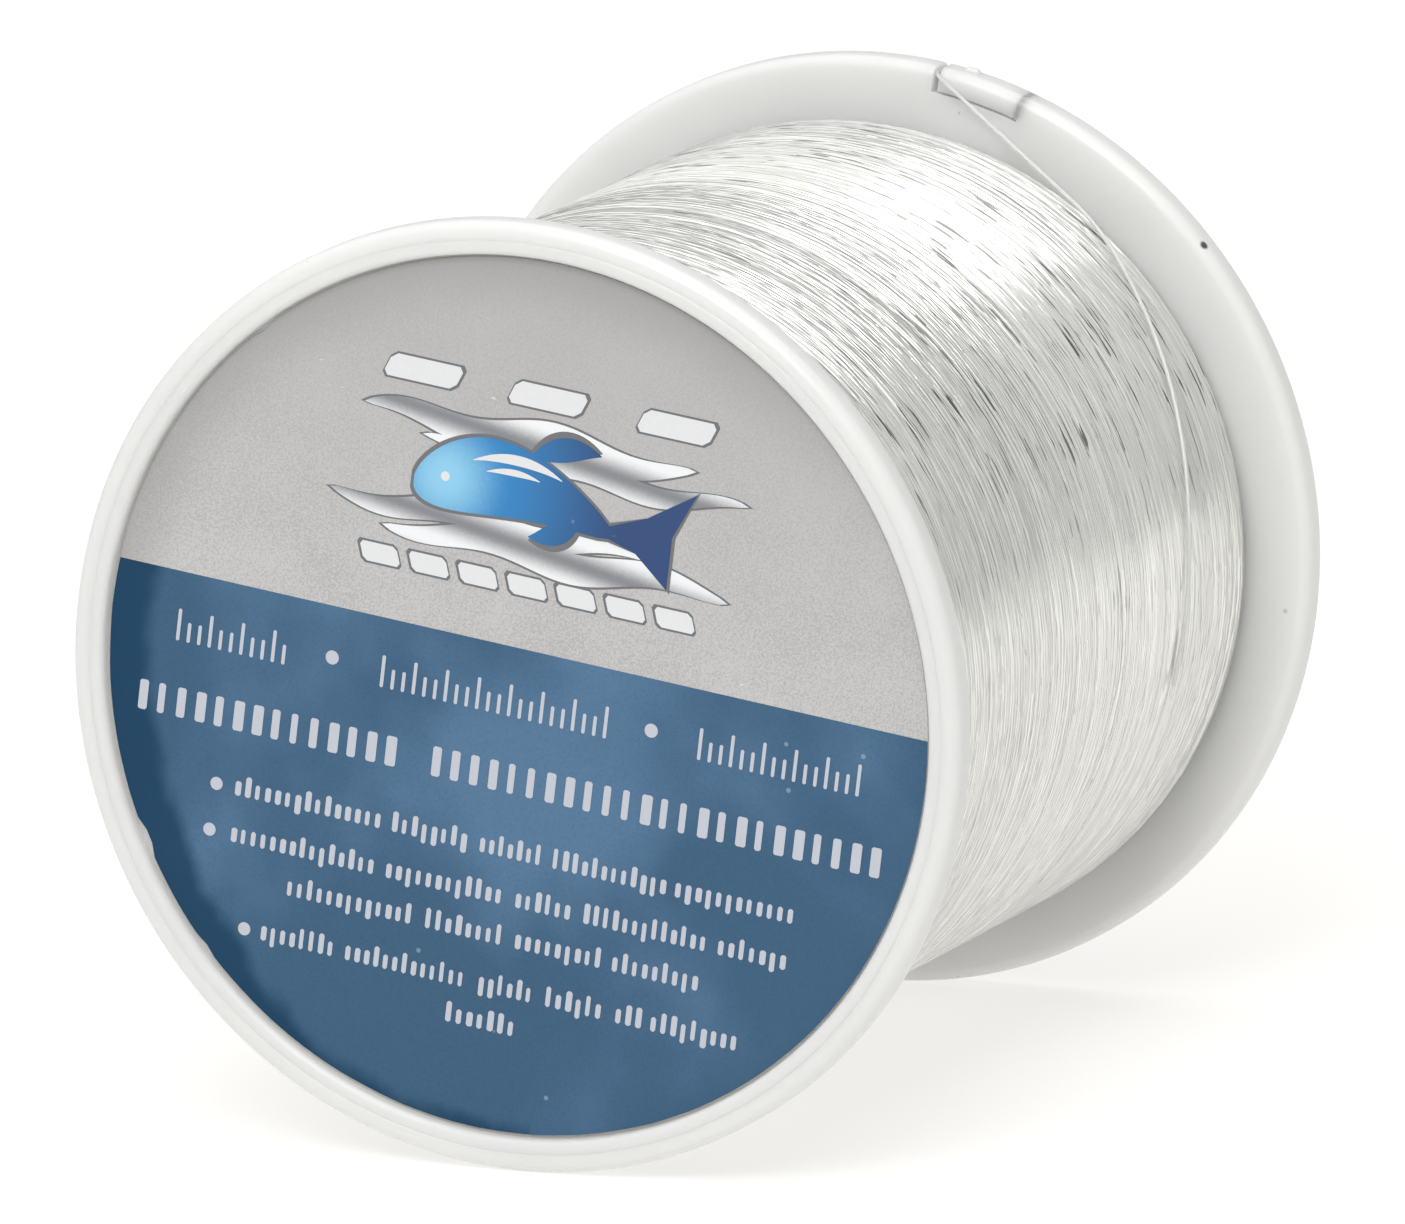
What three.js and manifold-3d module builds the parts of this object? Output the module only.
// A filler spool of clear fishing line, lying on the rims of its two flanges.
//
// Frame: millimetres, +Z up. The spool's axis runs along Y, with the labelled front towards -Y.
// The origin is on the surface that the rims rest on, under the middle of the axis.
// Angles are in degrees about the axis, measured from straight up towards +X.

import * as THREE from 'three';
import { mergeVertices } from 'three/addons/utils/BufferGeometryUtils.js';
import Module from 'manifold-3d';

const wasm = await Module();
wasm.setup();

// Overall sizes.
const flangeRadius = 44;
const overallWidth = 85;

// Flanges: a disc with a raised bead at the rim, and a shallow recess for the label inside the bead.
const rimWidth = 3.6;
const beadWidth = 3.1;
const recessDepth = 1.4;
const rimRound = 1.1;
const beadRound = 0.6;
const spigotHeight = 7;
const spigotWall = 1.9;
const coreSeatDepth = 1;

// Barrel and the core inside it.
const barrelWall = 1.8;
const spindleBoreRadius = 8;
const coreWall = 1.6;
const ribCount = 6;
const ribThickness = 1.8;

// Line: its own diameter, how deep it is wound, and how far the flanges stand above it.
const lineDiameter = 0.38;
const windingDepth = 6.8;
const flangeAboveLine = 5.3;
const windingShoulder = 1.6;
const shoulderLength = 4.5;

// Labels.
const labelThickness = 0.25;
const backLabelMargin = 5;

// The springy catch in the back rim: a curved tongue that a slit frees from the flange on three sides.
const catchEntryAngle = 10.2;
const catchLength = 8.4;
const catchDepth = 2.2;
const catchEntryWidth = 0.9;
const catchSlitWidth = 0.35;
const catchNubLength = 1.4;
const catchNubHeight = 0.45;
const catchNubInset = 1.9;
const catchNubMargin = 0.3;

// The hole in the barrel that the inner end of the line goes through, and the knot behind it.
const anchorHoleRadius = 1.2;
const anchorFromBack = 12;
const anchorAngle = 30;
const knotRadius = 0.95;
const knotGap = 0.1;

// Clearances between the pieces.
const pressGap = 0.3;
const labelGap = 0.15;
const windingGap = 0.3;
const catchRootGap = 0.3;
const strandGap = 0.3;

// The loose end of the line while it lies on the winding, as [angle, distance in front of the back
// flange's inner face]. It creeps towards the back flange and leaves the winding at the last point.
const tailOnWinding = [
  [104, 18.6],
  [97, 17.9],
  [90, 17],
  [82, 15.6],
  [74, 13.6],
  [66, 11.4],
  [59, 9.4],
  [52, 7.4],
  [45, 5.3],
  [38.5, 3.4],
];

// The straight stretch from the winding to the rim, as shares of it. Then where the loose end bends
// into the slit, how deep it lies there, and its places across the rim, as shares of the rim's width.
const tailStraight = [0.25, 0.5, 0.75];
const tailApproach = 0.6;
const tailTurnIn = 0.8;
const tailSink = 0.3;
const tailAcrossRim = [0.1, 0.45, 0.8, 1];

// How far a cutting block reaches past the piece that it cuts.
const overshoot = 1;

// How round things are.
const turnSteps = 72;
const boreSteps = 36;
const roundSteps = 4;
const bendSteps = 6;
const wireSides = 8;
const holeSides = 16;
const knotSides = 12;
const knotRings = 8;
const tailSteps = 78;
const startSteps = 4;

// Worked-out sizes.
const halfWidth = overallWidth / 2;
const innerFace = halfWidth - rimWidth;
const recessFloor = halfWidth - recessDepth;
const recessRadius = flangeRadius - beadWidth;
const windingRadius = flangeRadius - flangeAboveLine;
const barrelRadius = windingRadius - windingDepth - windingGap;
const barrelBoreRadius = barrelRadius - barrelWall;
const spigotRadius = barrelBoreRadius - pressGap;
const spigotBoreRadius = spigotRadius - spigotWall;
const coreRadius = spindleBoreRadius + coreWall;
const coreSeatRadius = coreRadius + pressGap;
const coreHalfLength = innerFace + coreSeatDepth - pressGap;
const ribReach = spigotBoreRadius - pressGap;
const labelRadius = recessRadius - pressGap;
const strandRadius = lineDiameter / 2;
const windingHalfWidth = innerFace - windingGap;
const anchorPlace = innerFace - anchorFromBack;

// A solid turned about the axis from an outline of [radius, place along the axis]. Every radius is
// measured to the flats of the facets, so a true circle of that radius just fits inside.
const flatsFactor = (steps) => 1 / Math.cos(Math.PI / steps);

const turned = (profile, steps = turnSteps) => {
  const outline = profile.map(([radius, along]) => new THREE.Vector2(radius * flatsFactor(steps), along));
  return new THREE.LatheGeometry(outline, steps, Math.PI / steps);
};

const turnedRing = (profile, steps = turnSteps) => turned([...profile, profile[0]], steps);

// A point at an angle about the axis.
const around = (angle, radius, along) => {
  const turn = THREE.MathUtils.degToRad(angle);
  return new THREE.Vector3(radius * Math.sin(turn), along, radius * Math.cos(turn));
};

// The angle that an arc of that length spans.
const arcAngle = (length, radius) => THREE.MathUtils.radToDeg(length / radius);

// A quarter circle of an outline, from that direction on.
const quarterRound = (centreRadius, centreAlong, size, from) => {
  const points = [];
  for (let step = 0; step <= roundSteps; step += 1) {
    const turn = THREE.MathUtils.degToRad(from + (90 * step) / roundSteps);
    points.push([centreRadius + size * Math.cos(turn), centreAlong + size * Math.sin(turn)]);
  }
  return points;
};

const toSolid = (geometry) => {
  const bare = geometry.clone();
  bare.deleteAttribute('normal');
  bare.deleteAttribute('uv');
  const merged = mergeVertices(bare);
  return new wasm.Manifold(new wasm.Mesh({
    numProp: 3,
    vertProperties: merged.attributes.position.array,
    triVerts: merged.index.array,
  }));
};

const toGeometry = (solid) => {
  const cut = solid.getMesh();
  const geometry = new THREE.BufferGeometry();
  geometry.setAttribute('position', new THREE.BufferAttribute(cut.vertProperties, 3));
  geometry.setIndex(new THREE.BufferAttribute(cut.triVerts, 1));
  geometry.computeVertexNormals();
  return geometry;
};

// A block bent round the axis: between two radii and two angles, from one place along the axis to another.
const bentBlock = (innerRadius, outerRadius, fromAngle, toAngle, fromAlong, toAlong) => {
  const outline = new THREE.Shape();
  const start = Math.PI / 2 - THREE.MathUtils.degToRad(toAngle);
  const end = Math.PI / 2 - THREE.MathUtils.degToRad(fromAngle);
  outline.absarc(0, 0, outerRadius, start, end, false);
  outline.absarc(0, 0, innerRadius, end, start, true);
  outline.closePath();
  const block = new THREE.ExtrudeGeometry(outline, {
    depth: toAlong - fromAlong,
    bevelEnabled: false,
    curveSegments: bendSteps,
  });
  block.rotateX(Math.PI / 2);
  block.translate(0, toAlong, 0);
  return block;
};

// A flange with its outer face towards +Y. The front flange is the same disc turned to face -Y.
const flangeDisc = () => turnedRing([
  [spindleBoreRadius, recessFloor],
  [spindleBoreRadius, innerFace + coreSeatDepth],
  [coreSeatRadius, innerFace + coreSeatDepth],
  [coreSeatRadius, innerFace],
  [spigotBoreRadius, innerFace],
  [spigotBoreRadius, innerFace - spigotHeight],
  [spigotRadius, innerFace - spigotHeight],
  [spigotRadius, innerFace],
  ...quarterRound(flangeRadius - rimRound, innerFace + rimRound, rimRound, -90),
  ...quarterRound(flangeRadius - rimRound, halfWidth - rimRound, rimRound, 0),
  ...quarterRound(recessRadius + beadRound, halfWidth - beadRound, beadRound, 90),
  [recessRadius, recessFloor],
]);

const frontFlange = () => flangeDisc().rotateZ(Math.PI);

// The catch is the piece of the flange between the entry slit and the tongue's root.
const catchTipAngle = catchEntryAngle + arcAngle(catchEntryWidth / 2, flangeRadius);
const catchRootAngle = catchTipAngle + arcAngle(catchLength, flangeRadius);
const catchInnerRadius = flangeRadius - catchDepth;
const beyondRim = flangeRadius + catchNubHeight + overshoot;

const catchPocket = () => {
  const entryStart = catchEntryAngle - arcAngle(catchEntryWidth / 2, flangeRadius);
  const rootEnd = catchRootAngle + arcAngle(catchRootGap, flangeRadius);
  const floorRadius = catchInnerRadius - catchSlitWidth;
  return bentBlock(
    floorRadius, beyondRim, entryStart, rootEnd, innerFace - overshoot, halfWidth + overshoot);
};

const backFlange = () => toGeometry(toSolid(flangeDisc()).subtract(toSolid(catchPocket())));

const lineCatch = () => {
  const tongue = bentBlock(
    catchInnerRadius, beyondRim, catchTipAngle, catchRootAngle,
    innerFace - overshoot, halfWidth + overshoot);
  const nubStart = catchTipAngle + arcAngle(catchNubInset, flangeRadius);
  const nubEnd = nubStart + arcAngle(catchNubLength, flangeRadius);
  const nub = bentBlock(
    flangeRadius - catchDepth / 2, flangeRadius + catchNubHeight, nubStart, nubEnd,
    innerFace + rimRound + catchNubMargin, halfWidth - rimRound - catchNubMargin);
  return toGeometry(toSolid(flangeDisc()).intersect(toSolid(tongue)).add(toSolid(nub)));
};

const barrel = () => {
  const halfLength = innerFace - pressGap;
  const tube = turnedRing([
    [barrelBoreRadius, -halfLength],
    [barrelRadius, -halfLength],
    [barrelRadius, halfLength],
    [barrelBoreRadius, halfLength],
  ]);
  const holeLength = barrelWall + 2 * overshoot;
  const hole = new THREE.CylinderGeometry(anchorHoleRadius, anchorHoleRadius, holeLength, holeSides);
  hole.rotateX(Math.PI / 2);
  hole.translate(0, 0, barrelRadius - barrelWall / 2);
  hole.rotateY(THREE.MathUtils.degToRad(anchorAngle));
  hole.translate(0, anchorPlace, 0);
  return toGeometry(toSolid(tube).subtract(toSolid(hole)));
};

const spindleCore = () => {
  let core = toSolid(turnedRing([
    [spindleBoreRadius, -coreHalfLength],
    [coreRadius, -coreHalfLength],
    [coreRadius, coreHalfLength],
    [spindleBoreRadius, coreHalfLength],
  ], boreSteps));
  const ribHalfLength = innerFace - pressGap;
  const ribFoot = coreRadius - coreWall / 2;
  for (let index = 0; index < ribCount; index += 1) {
    const rib = new THREE.BoxGeometry(ribThickness, 2 * ribHalfLength, ribReach - ribFoot);
    rib.translate(0, 0, (ribReach + ribFoot) / 2);
    rib.rotateY((2 * Math.PI * index) / ribCount);
    core = core.add(toSolid(rib));
  }
  return toGeometry(core);
};

// The label covers the whole recess of the front flange, its centre hole too.
const frontLabel = () => {
  const seat = -(recessFloor + labelGap);
  return turned([
    [0, seat - labelThickness],
    [labelRadius, seat - labelThickness],
    [labelRadius, seat],
    [0, seat],
  ]);
};

const backLabel = () => {
  const seat = recessFloor + labelGap;
  return turnedRing([
    [spindleBoreRadius + backLabelMargin, seat],
    [labelRadius, seat],
    [labelRadius, seat + labelThickness],
    [spindleBoreRadius + backLabelMargin, seat + labelThickness],
  ]);
};

// The winding: nearly a cylinder, and a little lower beside each flange, where the turns slip down.
const shoulder = (side) => {
  const points = [];
  for (let step = 0; step <= roundSteps; step += 1) {
    const turn = (Math.PI / 2) * (step / roundSteps);
    points.push([
      windingRadius - windingShoulder * (1 - Math.cos(turn)),
      side * (windingHalfWidth - shoulderLength * (1 - Math.sin(turn))),
    ]);
  }
  return side > 0 ? points : points.reverse();
};

const linePack = () => turnedRing([
  [barrelRadius + windingGap, -windingHalfWidth],
  ...shoulder(-1),
  ...shoulder(1),
  [barrelRadius + windingGap, windingHalfWidth],
]);

const wire = (points, steps) => {
  const section = new THREE.Shape();
  for (let index = 0; index < wireSides; index += 1) {
    const turn = (2 * Math.PI * index) / wireSides;
    const place = [strandRadius * Math.cos(turn), strandRadius * Math.sin(turn)];
    if (index === 0) {
      section.moveTo(...place);
    } else {
      section.lineTo(...place);
    }
  }
  section.closePath();
  return new THREE.ExtrudeGeometry(section, {
    steps,
    extrudePath: new THREE.CatmullRomCurve3(points, false, 'centripetal'),
    bevelEnabled: false,
  });
};

// The loose end: round the winding, straight up to the rim, and back through the slit beside the catch.
const lineTail = () => {
  const lift = windingRadius + strandGap + strandRadius;
  const onWinding = tailOnWinding.map(([angle, inFront]) => around(angle, lift, innerFace - inFront));
  const inSlit = flangeRadius - strandRadius - tailSink;
  const leave = onWinding[onWinding.length - 1];
  const enter = around(catchEntryAngle + tailApproach, inSlit, innerFace - tailTurnIn);
  const straight = tailStraight.map((share) => leave.clone().lerp(enter, share));
  const throughSlit = tailAcrossRim.map(
    (share) => around(catchEntryAngle, inSlit, innerFace + share * rimWidth));
  return wire([...onWinding, ...straight, enter, ...throughSlit], tailSteps);
};

// The inner end: from under the winding, through the hole in the barrel, to the knot that holds it.
const knotCentre = barrelBoreRadius - pressGap - knotRadius;

const lineStart = () => wire([
  around(anchorAngle, barrelRadius + windingGap / 2, anchorPlace),
  around(anchorAngle, barrelRadius - barrelWall / 2, anchorPlace),
  around(anchorAngle, knotCentre + knotRadius + knotGap, anchorPlace),
], startSteps);

const anchorKnot = () => {
  const knot = new THREE.SphereGeometry(knotRadius, knotSides, knotRings);
  const place = around(anchorAngle, knotCentre, anchorPlace);
  knot.translate(place.x, place.y, place.z);
  return knot;
};

const milkyPlastic = () => new THREE.MeshStandardMaterial({ color: 0xe6e6e4, roughness: 0.42, metalness: 0 });
const whitePlastic = () => new THREE.MeshStandardMaterial({ color: 0xe2e2df, roughness: 0.5, metalness: 0 });
const printedFront = () => new THREE.MeshStandardMaterial({ color: 0x466a8c, roughness: 0.3, metalness: 0 });
const printedBack = () => new THREE.MeshStandardMaterial({ color: 0x4d7192, roughness: 0.35, metalness: 0 });
const clearNylon = () => new THREE.MeshStandardMaterial({ color: 0xdcddd6, roughness: 0.15, metalness: 0 });

const pieces = [
  ['front_flange', frontFlange, milkyPlastic],
  ['back_flange', backFlange, milkyPlastic],
  ['line_catch', lineCatch, milkyPlastic],
  ['barrel', barrel, whitePlastic],
  ['spindle_core', spindleCore, whitePlastic],
  ['front_label', frontLabel, printedFront],
  ['back_label', backLabel, printedBack],
  ['line_pack', linePack, clearNylon],
  ['line_tail', lineTail, clearNylon],
  ['line_start', lineStart, clearNylon],
  ['anchor_knot', anchorKnot, clearNylon],
];

const spool = new THREE.Group();
for (const [name, shape, finish] of pieces) {
  const mesh = new THREE.Mesh(shape(), finish());
  mesh.name = name;
  spool.add(mesh);
}
spool.position.z = flangeRadius;

const group = new THREE.Group();
group.add(spool);

export default group;
